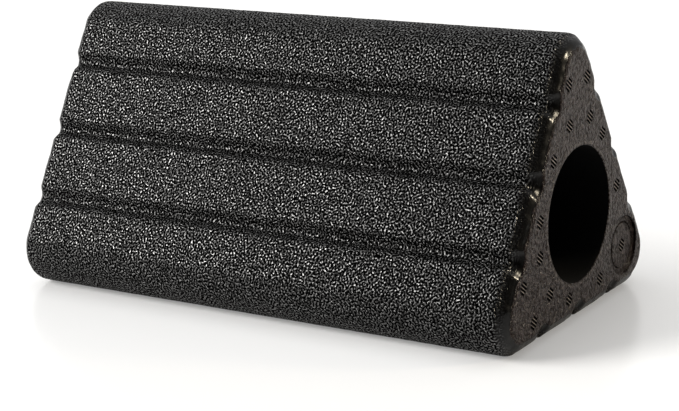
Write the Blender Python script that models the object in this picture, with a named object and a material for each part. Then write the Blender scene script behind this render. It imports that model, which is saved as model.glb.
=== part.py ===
"""Triangle foam roller.

A bar of black expanded bead foam with three flat faces, large round corners, three lengthwise
grooves in each face, rounded ends and a plain bore right through. A round plug closes the
filling port in one end face.

Metres, +Z up. The bar lies along X on one face: the origin is at the middle of that face, and
the filling port is in the +X end.
"""

import math

import bmesh
import bpy
from mathutils import Matrix, Vector

# Whole bar
LENGTH = 0.300
HEIGHT = 0.146
CORNER_RADIUS = 0.020
END_RADIUS = 0.0085

# Grooves along each face; an outer slat's flat runs from its groove's middle to the corner's arc
GROOVES_PER_FACE = 3
OUTER_SLAT_FLAT = 0.0220
GROOVE_DEPTH = 0.0035
GROOVE_FLOOR_WIDTH = 0.0018
GROOVE_FLOOR_RADIUS = 0.0020
GROOVE_WALL_SLOPE = math.radians(50)
SHOULDER_RADIUS = 0.0030
SHOULDER_LEAST_RADIUS = 0.0010

# Bore
BORE_DIAMETER = 0.069
BORE_EDGE = 0.0008

# Filling port and the plug in it
PORT_DEPTH = 0.0012
PORT_LEDGE = 0.0035
PLUG_DIAMETER = 0.0240
PLUG_LENGTH = 0.0120
PLUG_EDGE = 0.0006
PLUG_CLEARANCE = 0.0003

# Vent marks on the end faces
VENT_DIAMETER = 0.0064
VENT_SLOTS = 4
VENT_SLOT_WIDTH = 0.0008
VENT_SLOT_DEPTH = 0.0006
VENT_TILT = math.radians(-36)

# Places on the end faces: the angle round the bore in degrees, and the share of the way from the
# bore's edge to the reach of the flat's corners
PORT_PLACE_SHARE = (-30, 0.53)
VENT_PLACE_SHARES = (
    (6, 0.19), (53, 0.20), (75, 0.29), (82, 0.71), (99, 0.72), (102, 0.28), (130, 0.18), (171, 0.18),
    (194, 0.21), (199, 0.63), (219, 0.65), (224, 0.24), (253, 0.16), (300, 0.24),
    (316, 0.26), (322, 0.68), (338, 0.68), (344, 0.26),
)

# How far a cutter reaches past the face that it cuts
OVERRUN = 0.002

# Steps of the round stretches
FACES = 3
CORNER_STEPS = 12
END_STEPS = 5
SHOULDER_STEPS = 2
FLOOR_STEPS = 2
TURNED_STEPS = 64
SHARP_ANGLE = math.radians(32)

# Sizes that follow from the ones above
SHARP_HEIGHT = HEIGHT + CORNER_RADIUS
AXIS_HEIGHT = SHARP_HEIGHT / 3
SHARP_SIDE = 2 * SHARP_HEIGHT / math.sqrt(3)
CORNER_REACH = 2 * (AXIS_HEIGHT - CORNER_RADIUS)
FACE_FLAT = SHARP_SIDE - 2 * CORNER_RADIUS * math.sqrt(3)
GROOVE_PITCH = (FACE_FLAT - 2 * OUTER_SLAT_FLAT) / max(GROOVES_PER_FACE - 1, 1)
BORE_RADIUS = BORE_DIAMETER / 2
POCKET_RADIUS = PLUG_DIAMETER / 2 + PLUG_CLEARANCE
PORT_RADIUS = POCKET_RADIUS + PORT_LEDGE
VENT_SLOT_PITCH = VENT_DIAMETER / VENT_SLOTS

# The end's rounding leaves a vent mark's width of flat between itself and the bore's broken edge
END_ROUND = min(END_RADIUS, AXIS_HEIGHT - BORE_RADIUS - 2 * BORE_EDGE - VENT_DIAMETER)
FLAT_START = BORE_RADIUS + BORE_EDGE
FLAT_END = CORNER_REACH + CORNER_RADIUS - END_ROUND


def clear_scene():
    """Removes every object that the scene starts with."""
    for obj in list(bpy.data.objects):
        bpy.data.objects.remove(obj, do_unlink=True)


def make_material(name, color, roughness):
    """Returns a Principled material of one colour."""
    material = bpy.data.materials.new(name)
    material.use_nodes = True
    shader = material.node_tree.nodes["Principled BSDF"]
    shader.inputs["Base Color"].default_value = (*color, 1.0)
    shader.inputs["Roughness"].default_value = roughness
    shader.inputs["Metallic"].default_value = 0.0
    return material


def add_object(name, bm, location=(0.0, 0.0, 0.0)):
    """Turns the bmesh into a named object at that place."""
    bmesh.ops.recalc_face_normals(bm, faces=bm.faces)
    mesh = bpy.data.meshes.new(name)
    bm.to_mesh(mesh)
    bm.free()
    mesh.shade_smooth()
    mesh.set_sharp_from_angle(angle=SHARP_ANGLE)
    obj = bpy.data.objects.new(name, mesh)
    obj.location = location
    bpy.context.scene.collection.objects.link(obj)
    return obj


def loft(rings):
    """Returns a closed bmesh through rings of equally many points, with a flat cap at both ends."""
    bm = bmesh.new()
    loops = [[bm.verts.new(point) for point in ring] for ring in rings]
    count = len(loops[0])
    for first, second in zip(loops, loops[1:]):
        for i in range(count):
            j = (i + 1) % count
            bm.faces.new((first[i], first[j], second[j], second[i]))
    bm.faces.new(reversed(loops[0]))
    bm.faces.new(loops[-1])
    return bm


def turned(profile):
    """Returns a closed bmesh turned about X from (x, radius) points."""
    turns = [2 * math.pi * i / TURNED_STEPS for i in range(TURNED_STEPS)]
    return loft([[(x, r * math.cos(t), r * math.sin(t)) for t in turns] for x, r in profile])


def arc(centre, radius, start, end, steps):
    """Returns points on an arc, from one angle to the other, both ends included."""
    angles = [start + (end - start) * i / steps for i in range(steps + 1)]
    return [(centre[0] + radius * math.cos(a), centre[1] + radius * math.sin(a)) for a in angles]


def groove_half(inset):
    """Returns a groove's section from the middle of its floor to its shoulder, as (across, height).

    The section is the one of the outline moved in by inset: the floor's arc grows by it, the
    wall moves square to itself, and the shoulder's arc shrinks to its least radius.
    """
    slope = GROOVE_WALL_SLOPE
    floor_half = GROOVE_FLOOR_WIDTH / 2
    wall_foot = floor_half + GROOVE_FLOOR_RADIUS * math.sin(slope)
    wall_rise = GROOVE_DEPTH - GROOVE_FLOOR_RADIUS * (1 - math.cos(slope))
    mouth_half = wall_foot + wall_rise / math.tan(slope) + inset * math.tan(slope / 2)
    floor_centre = (floor_half, GROOVE_FLOOR_RADIUS - GROOVE_DEPTH)
    floor_start = -math.pi / 2
    floor = arc(floor_centre, GROOVE_FLOOR_RADIUS + inset, floor_start, floor_start + slope, FLOOR_STEPS)
    radius = max(SHOULDER_RADIUS - inset, SHOULDER_LEAST_RADIUS)
    shoulder_centre = (mouth_half + radius * math.tan(slope / 2), -inset - radius)
    shoulder = arc(shoulder_centre, radius, math.pi / 2 + slope, math.pi / 2, SHOULDER_STEPS)
    return floor + shoulder


def outline(inset):
    """Returns the bar's outline moved in by inset, as (y, z) points, anticlockwise seen from +X."""
    half = groove_half(inset)
    groove = [(-across, height) for across, height in reversed(half)] + half
    middles = [GROOVE_PITCH * (i - (GROOVES_PER_FACE - 1) / 2) for i in range(GROOVES_PER_FACE)]
    axis = Vector((0.0, AXIS_HEIGHT))
    points = []
    for face in range(FACES):
        facing = -math.pi / 2 + 2 * math.pi * face / FACES
        outward = Vector((math.cos(facing), math.sin(facing)))
        along = Vector((-outward.y, outward.x))
        for middle in middles:
            for across, height in groove:
                points.append(axis + outward * (AXIS_HEIGHT + height) + along * (middle + across))
        turn = math.pi / FACES
        corner = axis + CORNER_REACH * Vector((math.cos(facing + turn), math.sin(facing + turn)))
        points += arc(corner, CORNER_RADIUS - inset, facing, facing + 2 * turn, CORNER_STEPS)
    return points


def bar_rings():
    """Returns the bar's rings from the -X end to the +X end, with a quarter round at each end."""
    half = []
    for i in range(END_STEPS + 1):
        angle = math.pi / 2 * i / END_STEPS
        inset = END_ROUND * (1 - math.cos(angle))
        reach = LENGTH / 2 - END_ROUND * (1 - math.sin(angle))
        half.append((reach, outline(inset)))
    stations = [(-reach, points) for reach, points in reversed(half)] + half
    return [[(x, y, z) for y, z in points] for x, points in stations]


def end_place(degrees, share):
    """Returns the (y, z) point on an end face at that angle and share of the way outwards."""
    angle = math.radians(degrees)
    reach = FLAT_START + share * (FLAT_END - FLAT_START)
    return Vector((reach * math.cos(angle), AXIS_HEIGHT + reach * math.sin(angle)))


def vent_places(end):
    """Returns the (y, z) centres of the vent marks on one end face, those in the port left out."""
    port = end_place(*PORT_PLACE_SHARE)
    places = [end_place(*place_share) for place_share in VENT_PLACE_SHARES]
    clear = PORT_RADIUS + VENT_DIAMETER / 2
    return [place for place in places if end < 0 or (place - port).length > clear]


def add_vent_slots(bm, end, face_x, place):
    """Adds the boxes that cut one vent mark's slots into a face at face_x that looks along end."""
    size_x = VENT_SLOT_DEPTH + OVERRUN
    centre_x = face_x + end * (OVERRUN - VENT_SLOT_DEPTH) / 2
    for i in range(VENT_SLOTS):
        offset = VENT_SLOT_PITCH * (i - (VENT_SLOTS - 1) / 2)
        length = 2 * math.sqrt((VENT_DIAMETER / 2) ** 2 - offset ** 2)
        box = (
            Matrix.Translation((centre_x, *place))
            @ Matrix.Rotation(VENT_TILT, 4, "X")
            @ Matrix.Translation((0.0, 0.0, offset))
            @ Matrix.Diagonal((size_x, length, VENT_SLOT_WIDTH, 1.0))
        )
        bmesh.ops.create_cube(bm, size=1.0, matrix=box)


def cut(target, cutter):
    """Subtracts the cutter from the target and leaves the cutter out of the model."""
    cutter.hide_render = True
    cutter.display_type = "WIRE"
    modifier = target.modifiers.new(cutter.name, "BOOLEAN")
    modifier.operation = "DIFFERENCE"
    modifier.solver = "EXACT"
    modifier.object = cutter


def make_bore_cutter():
    """Returns the bore's cutter, which opens out at both ends to break the bore's edges."""
    face = LENGTH / 2
    mouth = BORE_RADIUS + BORE_EDGE
    profile = [
        (-face - OVERRUN, mouth),
        (-face, mouth),
        (-face + BORE_EDGE, BORE_RADIUS),
        (face - BORE_EDGE, BORE_RADIUS),
        (face, mouth),
        (face + OVERRUN, mouth),
    ]
    return add_object("bore_cutter", turned(profile), (0.0, 0.0, AXIS_HEIGHT))


def make_port_cutter():
    """Returns the port's cutter: the wide shallow step and the pocket that holds the plug."""
    profile = [
        (-PLUG_LENGTH - PLUG_CLEARANCE, POCKET_RADIUS),
        (-PLUG_EDGE, POCKET_RADIUS),
        (0.0, POCKET_RADIUS + PLUG_EDGE),
        (0.0, PORT_RADIUS),
        (PORT_DEPTH + OVERRUN, PORT_RADIUS),
    ]
    return add_object("port_cutter", turned(profile), plug_face())


def plug_face():
    """Returns the centre of the plug's outer face, level with the port's step."""
    return (LENGTH / 2 - PORT_DEPTH, *end_place(*PORT_PLACE_SHARE))


def make_foam_body(material):
    """Makes the bar with its bore, its port and its vent marks."""
    body = add_object("foam_body", loft(bar_rings()))
    body.data.materials.append(material)
    cut(body, make_bore_cutter())
    cut(body, make_port_cutter())
    slots = bmesh.new()
    for end in (-1, 1):
        for place in vent_places(end):
            add_vent_slots(slots, end, end * LENGTH / 2, place)
    cut(body, add_object("vent_cutter", slots))
    return body


def make_fill_plug(material):
    """Makes the plug, with a broken edge at both faces and a vent mark in the outer one."""
    radius = PLUG_DIAMETER / 2
    profile = [
        (-PLUG_LENGTH, radius - PLUG_EDGE),
        (-PLUG_LENGTH + PLUG_EDGE, radius),
        (-PLUG_EDGE, radius),
        (0.0, radius - PLUG_EDGE),
    ]
    plug = add_object("fill_plug", turned(profile), plug_face())
    plug.data.materials.append(material)
    slots = bmesh.new()
    face_x, *place = plug_face()
    add_vent_slots(slots, 1, face_x, place)
    cut(plug, add_object("plug_vent_cutter", slots))
    return plug


def main():
    """Builds the roller."""
    clear_scene()
    make_foam_body(make_material("black_bead_foam", (0.026, 0.026, 0.026), 0.62))
    make_fill_plug(make_material("smooth_foam_skin", (0.034, 0.031, 0.028), 0.50))


main()
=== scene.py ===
"""Looks of the triangle foam roller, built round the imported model.

The roller is one block of black expanded polypropylene bead foam, steam moulded. Its grooved
faces carry a leathery grain from the mould, its end faces the smooth skin of the end plates, with
the prints of the core vents and a plugged filling port.

Metres, +Z up. The roller lies along X on one face, and the plugged end faces +X.
"""

import logging
import math
from collections.abc import Callable
from dataclasses import dataclass, field
from enum import Enum, IntEnum
from functools import partial
from typing import Any

import bmesh
import bpy
import numpy as np
from mathutils import Matrix, Vector
from mathutils.geometry import delaunay_2d_cdt


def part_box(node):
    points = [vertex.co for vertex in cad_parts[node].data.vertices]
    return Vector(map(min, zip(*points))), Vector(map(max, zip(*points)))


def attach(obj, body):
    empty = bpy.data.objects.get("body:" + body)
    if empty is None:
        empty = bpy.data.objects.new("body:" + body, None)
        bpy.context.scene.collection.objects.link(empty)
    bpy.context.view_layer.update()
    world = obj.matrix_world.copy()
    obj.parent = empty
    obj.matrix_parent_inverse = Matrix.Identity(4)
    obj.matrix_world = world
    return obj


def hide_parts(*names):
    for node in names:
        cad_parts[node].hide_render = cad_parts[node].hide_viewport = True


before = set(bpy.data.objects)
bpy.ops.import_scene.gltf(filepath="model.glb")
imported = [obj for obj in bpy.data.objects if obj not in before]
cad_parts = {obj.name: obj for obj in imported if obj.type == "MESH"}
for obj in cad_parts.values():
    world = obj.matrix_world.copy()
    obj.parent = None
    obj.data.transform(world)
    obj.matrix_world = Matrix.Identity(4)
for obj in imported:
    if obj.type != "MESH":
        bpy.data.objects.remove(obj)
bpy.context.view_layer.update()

logging.basicConfig(level=logging.INFO, format="%(message)s")
log = logging.getLogger("roller")

Socket = bpy.types.NodeSocket
AddNode = Callable[..., Socket]

MM = 0.001
PER_MM = (1 / MM,) * 3
QUARTER = math.pi / 2
WHITE = "ffffff"
SHARP_ANGLE = math.radians(50)

# What nearly every point of the end skin carries, and two settings that many nodes share
END_SKIN = {"skin": 1.0, "turn": 1.0}
SMOOTH = {"interpolation_type": "SMOOTHSTEP"}
COLOUR = {"data_type": "RGBA"}

# Odd multipliers that spread a lattice corner's bits
AXIS_MIXERS = np.array([0x9E3779B97F4A7C15, 0xC2B2AE3D27D4EB4F, 0x165667B19E3779F9], np.uint64)
SEED_MIXER = np.uint64(0x27D4EB2F165667C5)
LAST_MIXER = np.uint64(0xBF58476D1CE4E5B9)


def linear(hex_colour: str) -> tuple[float, float, float, float]:
    """Turns an sRGB hex colour into linear values with full alpha.

    Args:
        hex_colour: Six hex digits, such as "1a1918".

    Returns:
        Red, green, blue and alpha, linear.
    """
    shares = [int(hex_colour[i:i + 2], 16) / 255 for i in (0, 2, 4)]
    values = [s / 12.92 if s <= 0.04045 else ((s + 0.055) / 1.055) ** 2.4 for s in shares]
    return (values[0], values[1], values[2], 1.0)


def fill(node: bpy.types.Node, inputs: dict[str | int, Any]) -> None:
    """Sets or links a node's inputs.

    Args:
        node: The node.
        inputs: A value or an output socket for each input, by its number or by the name of one
            that is in use.
    """
    for key, value in inputs.items():
        named = (socket for socket in node.inputs if socket.enabled and socket.name == key)
        socket = node.inputs[key] if isinstance(key, int) else next(named)
        if isinstance(value, Socket):
            node.id_data.links.new(value, socket)
        else:
            socket.default_value = value


def add_node(
    tree: bpy.types.NodeTree, kind: str, inputs: dict[str | int, Any] | None = None, output: str = "",
    **settings: Any,
) -> Socket:
    """Adds a shader node with its settings and links.

    Args:
        tree: The node tree it goes into.
        kind: The node's type name, which follows ShaderNode.
        inputs: Its inputs, as fill takes them.
        output: Name of the output that is wanted, if it isn't the first one in use.
        **settings: The node's own properties.

    Returns:
        The output socket.
    """
    node = tree.nodes.new("ShaderNode" + kind)
    for name, value in settings.items():
        setattr(node, name, value)
    fill(node, inputs or {})
    return next(socket for socket in node.outputs if socket.enabled and output in ("", socket.name))


def new_material(name: str) -> tuple[bpy.types.Material, bpy.types.Node, AddNode]:
    """Makes a material.

    Args:
        name: Its name.

    Returns:
        The material, its shader, and add_node for its node tree.
    """
    material = bpy.data.materials.new(name)
    material.use_nodes = True
    return material, material.node_tree.nodes["Principled BSDF"], partial(add_node, material.node_tree)


def ends(side: str, span: tuple[float, float]) -> dict[str, float]:
    """Returns a span's two ends by their names, such as From Min and From Max."""
    return {f"{side} Min": span[0], f"{side} Max": span[1]}


def smooth_share(value: np.ndarray, low: float, high: float) -> np.ndarray:
    """Returns 0 below low and 1 above high, with the smooth cubic 3t^2 - 2t^3 between them."""
    t = np.clip((value - low) / (high - low), 0.0, 1.0)
    return t * t * (3.0 - 2.0 * t)


def arc(centre: tuple[float, float], radius: float, start: float, end: float, steps: int) -> np.ndarray:
    """Returns the points of an arc, both ends included.

    Args:
        centre: Centre of the arc.
        radius: Its radius.
        start: Angle of the first point, in radians.
        end: Angle of the last point, in radians.
        steps: Number of steps between them.

    Returns:
        Points of shape (steps + 1, 2): centre + radius * (cos a, sin a).
    """
    angles = np.linspace(start, end, steps + 1)
    return np.asarray(centre) + radius * np.stack([np.cos(angles), np.sin(angles)], 1)


def unit_circle(steps: int) -> np.ndarray:
    """Returns that many points round a circle of radius 1, anticlockwise from the first axis."""
    return arc((0.0, 0.0), 1.0, 0.0, 2 * math.pi, steps)[:-1]


def chain(stretches: list[tuple[np.ndarray, int]]) -> np.ndarray:
    """Joins stretches of a line, each with straight steps up to its first point.

    Args:
        stretches: Points of each stretch, and in how many steps the line reaches its first point
            from the stretch before.

    Returns:
        The line's points, those of the straight steps included.
    """
    line = [stretches[0][0]]
    for points, steps in stretches[1:]:
        shares = np.linspace(0.0, 1.0, steps + 1)[1:-1, None]
        line.append(line[-1][-1] + (points[0] - line[-1][-1]) * shares)
        line.append(points)
    return np.concatenate(line)


def turned(points: np.ndarray, angle: float) -> np.ndarray:
    """Returns points of shape (..., 2) turned anticlockwise about the origin."""
    cos, sin = math.cos(angle), math.sin(angle)
    return points @ np.array([[cos, sin], [-sin, cos]])


def at_x(x: float | np.ndarray, flat: np.ndarray) -> np.ndarray:
    """Returns (y, z) points of shape (..., 2) as points in space, at one x or at an array of them."""
    return np.concatenate([np.broadcast_to(x, flat.shape[:-1] + (1,)), flat], -1)


def gaps_to(points: np.ndarray, marks: np.ndarray, batch: int = 500) -> np.ndarray:
    """Returns how far each point is from the nearest mark.

    Args:
        points: Points of shape (n, 2).
        marks: Points of shape (m, 2).
        batch: About how many points are measured at once, which keeps the memory small.

    Returns:
        A distance for each point.
    """
    parts = np.array_split(points, max(len(points) // batch, 1))
    return np.concatenate([np.sqrt(((part[:, None] - marks) ** 2).sum(2)).min(1) for part in parts])


def inside(points: np.ndarray, loop: np.ndarray) -> np.ndarray:
    """Tells which points lie inside a closed loop.

    A ray from the point along the first axis crosses the loop an odd number of times.

    Args:
        points: Points of shape (n, 2).
        loop: The loop's points, of shape (m, 2).

    Returns:
        True or False for each point.
    """
    after = np.roll(loop, -1, axis=0)
    y = points[:, 1:2]
    across = (loop[:, 1] > y) != (after[:, 1] > y)
    rise = np.where(after[:, 1] == loop[:, 1], 1.0, after[:, 1] - loop[:, 1])
    meets = loop[:, 0] + (y - loop[:, 1]) / rise * (after[:, 0] - loop[:, 0])
    return (np.sum(across & (points[:, 0:1] < meets), axis=1) % 2) == 1


class FoamValue(str, Enum):
    """The numbers that each point of the foam carries for its material."""

    SKIN = "skin"
    TURN = "turn"
    GROOVE = "groove"
    # Painted highlight on the vent prints' bars and in a ring round the bore
    PRINT = "print"
    # Painted shade in the port, on the plug's edge and at the bore's edge
    SHADE = "shade"
    RUN = "run"
    ROUND = "round"


class SinkValue(str, Enum):
    """The numbers that say how much each point of the body sinks by each kind of unevenness."""

    LUMP = "lump"
    BAND = "band"


class FoamSlot(IntEnum):
    """The order of the materials on a piece."""

    FOAM = 0
    # The bore's wall and the vent slots take the finish with painted shade
    BORE_WALL = 1
    VENT_SLOT = 2


@dataclass(frozen=True)
class SpaceNoise:
    """Smooth noise in space: random values on a cubic lattice, blended with 6t^5 - 15t^4 + 10t^3."""

    pitch: float
    seed: int

    def corner(self, cell: np.ndarray) -> np.ndarray:
        """Gives each lattice corner a random value, from the top 24 of its mixed bits.

        Args:
            cell: Whole-numbered corners, of shape (n, 3).

        Returns:
            Values from -1 to 1.
        """
        with np.errstate(over="ignore"):
            mixed = np.bitwise_xor.reduce(cell.astype(np.int64).astype(np.uint64) * AXIS_MIXERS, axis=-1)
            mixed += np.uint64(self.seed) * SEED_MIXER
            mixed ^= mixed >> np.uint64(29)
            mixed *= LAST_MIXER
            mixed ^= mixed >> np.uint64(32)
        return (mixed >> np.uint64(40)).astype(float) / float(1 << 23) - 1.0

    def at(self, points: np.ndarray) -> np.ndarray:
        """Works out the noise, as the blend of the eight corners round each point.

        Args:
            points: Points of shape (n, 3).

        Returns:
            Values from -1 to 1.
        """
        scaled = points / self.pitch
        cell = np.floor(scaled)
        t = scaled - cell
        t = t * t * t * (t * (t * 6.0 - 15.0) + 10.0)
        total = np.zeros(len(points))
        for corner in np.ndindex(2, 2, 2):
            weight = np.prod(np.where(np.array(corner) == 1, t, 1.0 - t), axis=1)
            total += weight * self.corner(cell + np.array(corner))
        return total

    def dent(self, points: np.ndarray) -> np.ndarray:
        """Returns the noise as a depth, from 0 at its highest to 1 at its lowest."""
        return 0.5 - 0.5 * self.at(points)


class MeshDraft:
    """Collects the points, faces and per-point values of one closed piece."""

    def __init__(self, *values: Enum) -> None:
        """Starts an empty piece.

        Args:
            *values: The numbers that each point carries.
        """
        self.points: list[np.ndarray] = []
        self.values: dict[str, list[np.ndarray]] = {value.value: [] for value in values}
        self.faces: list[np.ndarray] = []
        self.slots: list[np.ndarray] = []
        self.count = 0

    def add(self, points: np.ndarray, **values: np.ndarray | float) -> np.ndarray:
        """Adds points.

        Args:
            points: Array of shape (..., 3).
            **values: A number, or one for each point, for some of the piece's named values.

        Returns:
            The points' indices, of shape (...).
        """
        shape = points.shape[:-1]
        size = int(np.prod(shape))
        self.points.append(points.reshape(-1, 3))
        for name, lists in self.values.items():
            lists.append(np.broadcast_to(np.asarray(values.get(name, 0.0), float), shape).reshape(-1))
        indices = np.arange(self.count, self.count + size).reshape(shape)
        self.count += size
        return indices

    def add_faces(self, faces: np.ndarray, slot: FoamSlot = FoamSlot.FOAM) -> None:
        """Adds faces given as an array of corner indices, all with that material slot."""
        self.faces.append(faces)
        self.slots.append(np.full(len(faces), slot))

    def strip(self, rows: np.ndarray, slot: FoamSlot = FoamSlot.FOAM) -> None:
        """Adds the quads between rows of closed loops.

        Args:
            rows: Indices of shape (rows, ..., points in a loop).
            slot: Material slot of the quads.
        """
        after = np.roll(rows, -1, axis=-1)
        quads = np.stack([rows[:-1], after[:-1], after[1:], rows[1:]], -1)
        self.add_faces(quads.reshape(-1, 4), slot)

    def fan(self, loops: np.ndarray, middles: np.ndarray, slot: FoamSlot = FoamSlot.FOAM) -> None:
        """Closes loops with triangles round a point in the middle of each.

        Args:
            loops: Indices of shape (..., points in a loop).
            middles: Indices of shape (..., 1).
            slot: Material slot of the triangles.
        """
        corners = np.stack([loops, np.roll(loops, -1, axis=-1), np.broadcast_to(middles, loops.shape)], -1)
        self.add_faces(corners.reshape(-1, 3), slot)

    def mesh(self, name: str) -> bpy.types.Mesh:
        """Makes the mesh, with its faces pointing out and its values as point attributes.

        Args:
            name: Name of the mesh.

        Returns:
            The new mesh.
        """
        mesh = bpy.data.meshes.new(name)
        points = np.concatenate(self.points)
        mesh.from_pydata(points.tolist(), [], [f for faces in self.faces for f in faces.tolist()])
        mesh.polygons.foreach_set("material_index", np.concatenate(self.slots).astype(np.int32))
        solid = bmesh.new()
        solid.from_mesh(mesh)
        bmesh.ops.recalc_face_normals(solid, faces=solid.faces)
        solid.to_mesh(mesh)
        solid.free()
        for key, lists in self.values.items():
            attribute = mesh.attributes.new(key, "FLOAT", "POINT")
            attribute.data.foreach_set("value", np.concatenate(lists).astype(np.float32))
        return mesh


def hang(mesh: bpy.types.Mesh, finishes: list[bpy.types.Material], node: str) -> bpy.types.Object:
    """Dresses a foam mesh and puts it in a solid's place.

    Args:
        mesh: The piece's mesh, in the frame's place.
        finishes: Its materials, in the order of FoamSlot.
        node: The solid that it stands for.

    Returns:
        The new object.
    """
    mesh.shade_smooth()
    mesh.set_sharp_from_angle(angle=SHARP_ANGLE)
    for finish in finishes:
        mesh.materials.append(finish)
    piece = bpy.data.objects.new(mesh.name, mesh)
    bpy.context.scene.collection.objects.link(piece)
    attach(piece, "root")
    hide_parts(node)
    log.info("%s: %d points, %d faces", piece.name, len(mesh.vertices), len(mesh.polygons))
    return piece


@dataclass
class VentPrint:
    """The print of one core vent: parallel slots that fill a circle."""

    diameter: float = 6.9 * MM
    slots: int = 4
    slot_width: float = 1.22 * MM
    slot_depth: float = 1.0 * MM
    end_round: float = 0.3 * MM
    tilt: float = math.radians(-36)
    draft: float = 0.06 * MM
    round_steps: int = 2
    highlight_edge: float = 1.2 * MM

    def loops(self, places: np.ndarray) -> np.ndarray:
        """Returns the slots' outlines at the face.

        A slot is a rectangle with round corners, as long as the circle is wide at its middle.

        Args:
            places: Centres of the prints, of shape (n, 2), as (y, z).

        Returns:
            Loops of shape (n * slots, points, 2).
        """
        offsets = self.diameter / self.slots * (np.arange(self.slots) - (self.slots - 1) / 2)
        halves = np.sqrt((self.diameter / 2) ** 2 - offsets ** 2)
        loops = []
        for offset, half in zip(offsets, halves):
            y, z = half - self.end_round, self.slot_width / 2 - self.end_round
            corners = [
                arc(centre, self.end_round, QUARTER * number, QUARTER * (number + 1), self.round_steps)
                for number, centre in enumerate(((y, z), (-y, z), (-y, -z), (y, -z)))
            ]
            loops.append(np.concatenate(corners) + np.array([0.0, offset]))
        loops = turned(np.array(loops), self.tilt)
        return (places[:, None, None, :] + loops[None]).reshape(-1, loops.shape[1], 2)

    def painted_highlight_share(self, points: np.ndarray, places: np.ndarray) -> np.ndarray:
        """Returns the painted highlight on a print, from 1 on its bars to 0 at its edge.

        Args:
            points: Points on the face, of shape (..., 2).
            places: Centres of the prints, of shape (n, 2).

        Returns:
            A share for each point.
        """
        gaps = np.linalg.norm(points[..., None, :] - places, axis=-1).min(axis=-1)
        return 1 - smooth_share(gaps, self.diameter / 2 - self.highlight_edge, self.diameter / 2)

    def sink(self, draft: MeshDraft, rims: np.ndarray, loops: np.ndarray, face_x: float) -> None:
        """Adds the walls and the floor of each slot.

        The wall leans in by the draft on its way down, and the floor is a fan round its middle.

        Args:
            draft: The piece that has the slots.
            rims: Indices of the outlines at the face.
            loops: The outlines, of the same shape and two coordinates.
            face_x: The face's place, above 0 on a face that looks along +X.
        """
        middles = loops.mean(axis=1, keepdims=True)
        away = loops - middles
        low = loops - away / np.linalg.norm(away, axis=2, keepdims=True) * self.draft
        floor_x = face_x - math.copysign(self.slot_depth, face_x)
        floor = draft.add(at_x(floor_x, low), **END_SKIN)
        centres = draft.add(at_x(floor_x, middles), **END_SKIN)
        draft.strip(np.stack([rims, floor]), FoamSlot.VENT_SLOT)
        draft.fan(floor, centres, FoamSlot.VENT_SLOT)


@dataclass
class PiercedFace:
    """A flat end face with vent prints and other holes.

    A field of points in a triangle pattern is joined up to the outline and to the holes. The
    field keeps clear_share of its pitch from them, and points within merge_mm would be one.
    """

    vent: VentPrint
    places: np.ndarray
    face_x: float
    pitch: float = 1.15 * MM
    clear_share: float = 0.62
    merge_mm: float = 1e-6

    def field(self, outer: np.ndarray, holes: list[np.ndarray]) -> np.ndarray:
        """Returns the points of the triangle pattern that lie on the face and clear of every loop.

        Args:
            outer: The face's outline, of shape (n, 2).
            holes: The outlines of its holes.

        Returns:
            Points of shape (m, 2).
        """
        low, high = outer.min(axis=0), outer.max(axis=0)
        rows = np.arange(low[1], high[1], self.pitch * math.sqrt(3) / 2)
        y, z = np.meshgrid(np.arange(low[0], high[0], self.pitch), rows)
        y = y + (np.arange(len(rows)) % 2)[:, None] * self.pitch / 2
        points = np.stack([y.ravel(), z.ravel()], 1)
        points = points[inside(points, outer)]
        for hole in holes:
            near = np.all((points > hole.min(0) - self.pitch) & (points < hole.max(0) + self.pitch), axis=1)
            keep = np.ones(len(points), bool)
            keep[near] = ~inside(points[near], hole)
            points = points[keep]
        return points[gaps_to(points, np.concatenate([outer, *holes])) > self.clear_share * self.pitch]

    def triangles(self, outer: np.ndarray, holes: list[np.ndarray], between: np.ndarray) -> np.ndarray:
        """Joins the outline, the holes and the field into triangles.

        Args:
            outer: The face's outline.
            holes: The outlines of its holes.
            between: The field's points.

        Returns:
            Corner numbers of shape (n, 3), counted through outer, the holes and then the field.
        """
        loops = [outer, *holes]
        starts = np.cumsum([0] + [len(loop) for loop in loops])
        edges = np.concatenate([
            np.stack([start + np.arange(len(loop)), start + np.roll(np.arange(len(loop)), -1)], 1)
            for start, loop in zip(starts, loops)
        ])
        in_mm = np.concatenate([*loops, between]) * (1.0 / MM)
        made = delaunay_2d_cdt([Vector(p) for p in in_mm.tolist()], edges.tolist(), [], 0, self.merge_mm)
        corners = np.array(made[2])
        middles = (np.array([p[:] for p in made[0]])[corners] * MM).mean(axis=1)
        keep = inside(middles, outer)
        for hole in holes:
            near = keep & np.all((middles > hole.min(0)) & (middles < hole.max(0)), axis=1)
            keep[near] = ~inside(middles[near], hole)
        return corners[keep]

    def fill(
        self, draft: MeshDraft, loops: list[np.ndarray], light: Callable[[np.ndarray], np.ndarray],
    ) -> None:
        """Adds the face and its vent prints.

        Args:
            draft: The piece that it belongs to.
            loops: Indices of its outline, and then of each hole that isn't a vent's slot.
            light: Gives the painted highlight at (y, z) points.
        """
        flat = np.concatenate(draft.points)[:, 1:]
        slots = self.vent.loops(self.places)
        outer, *holes = [*(flat[loop] for loop in loops), *slots]
        between = self.field(outer, holes)
        rims = draft.add(at_x(self.face_x, slots), **END_SKIN, print=light(slots))
        filling = draft.add(at_x(self.face_x, between), **END_SKIN, print=light(between))
        numbers = np.concatenate([*loops, rims.reshape(-1), filling])
        draft.add_faces(numbers[self.triangles(outer, holes, between)])
        self.vent.sink(draft, rims, slots, self.face_x)


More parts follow.
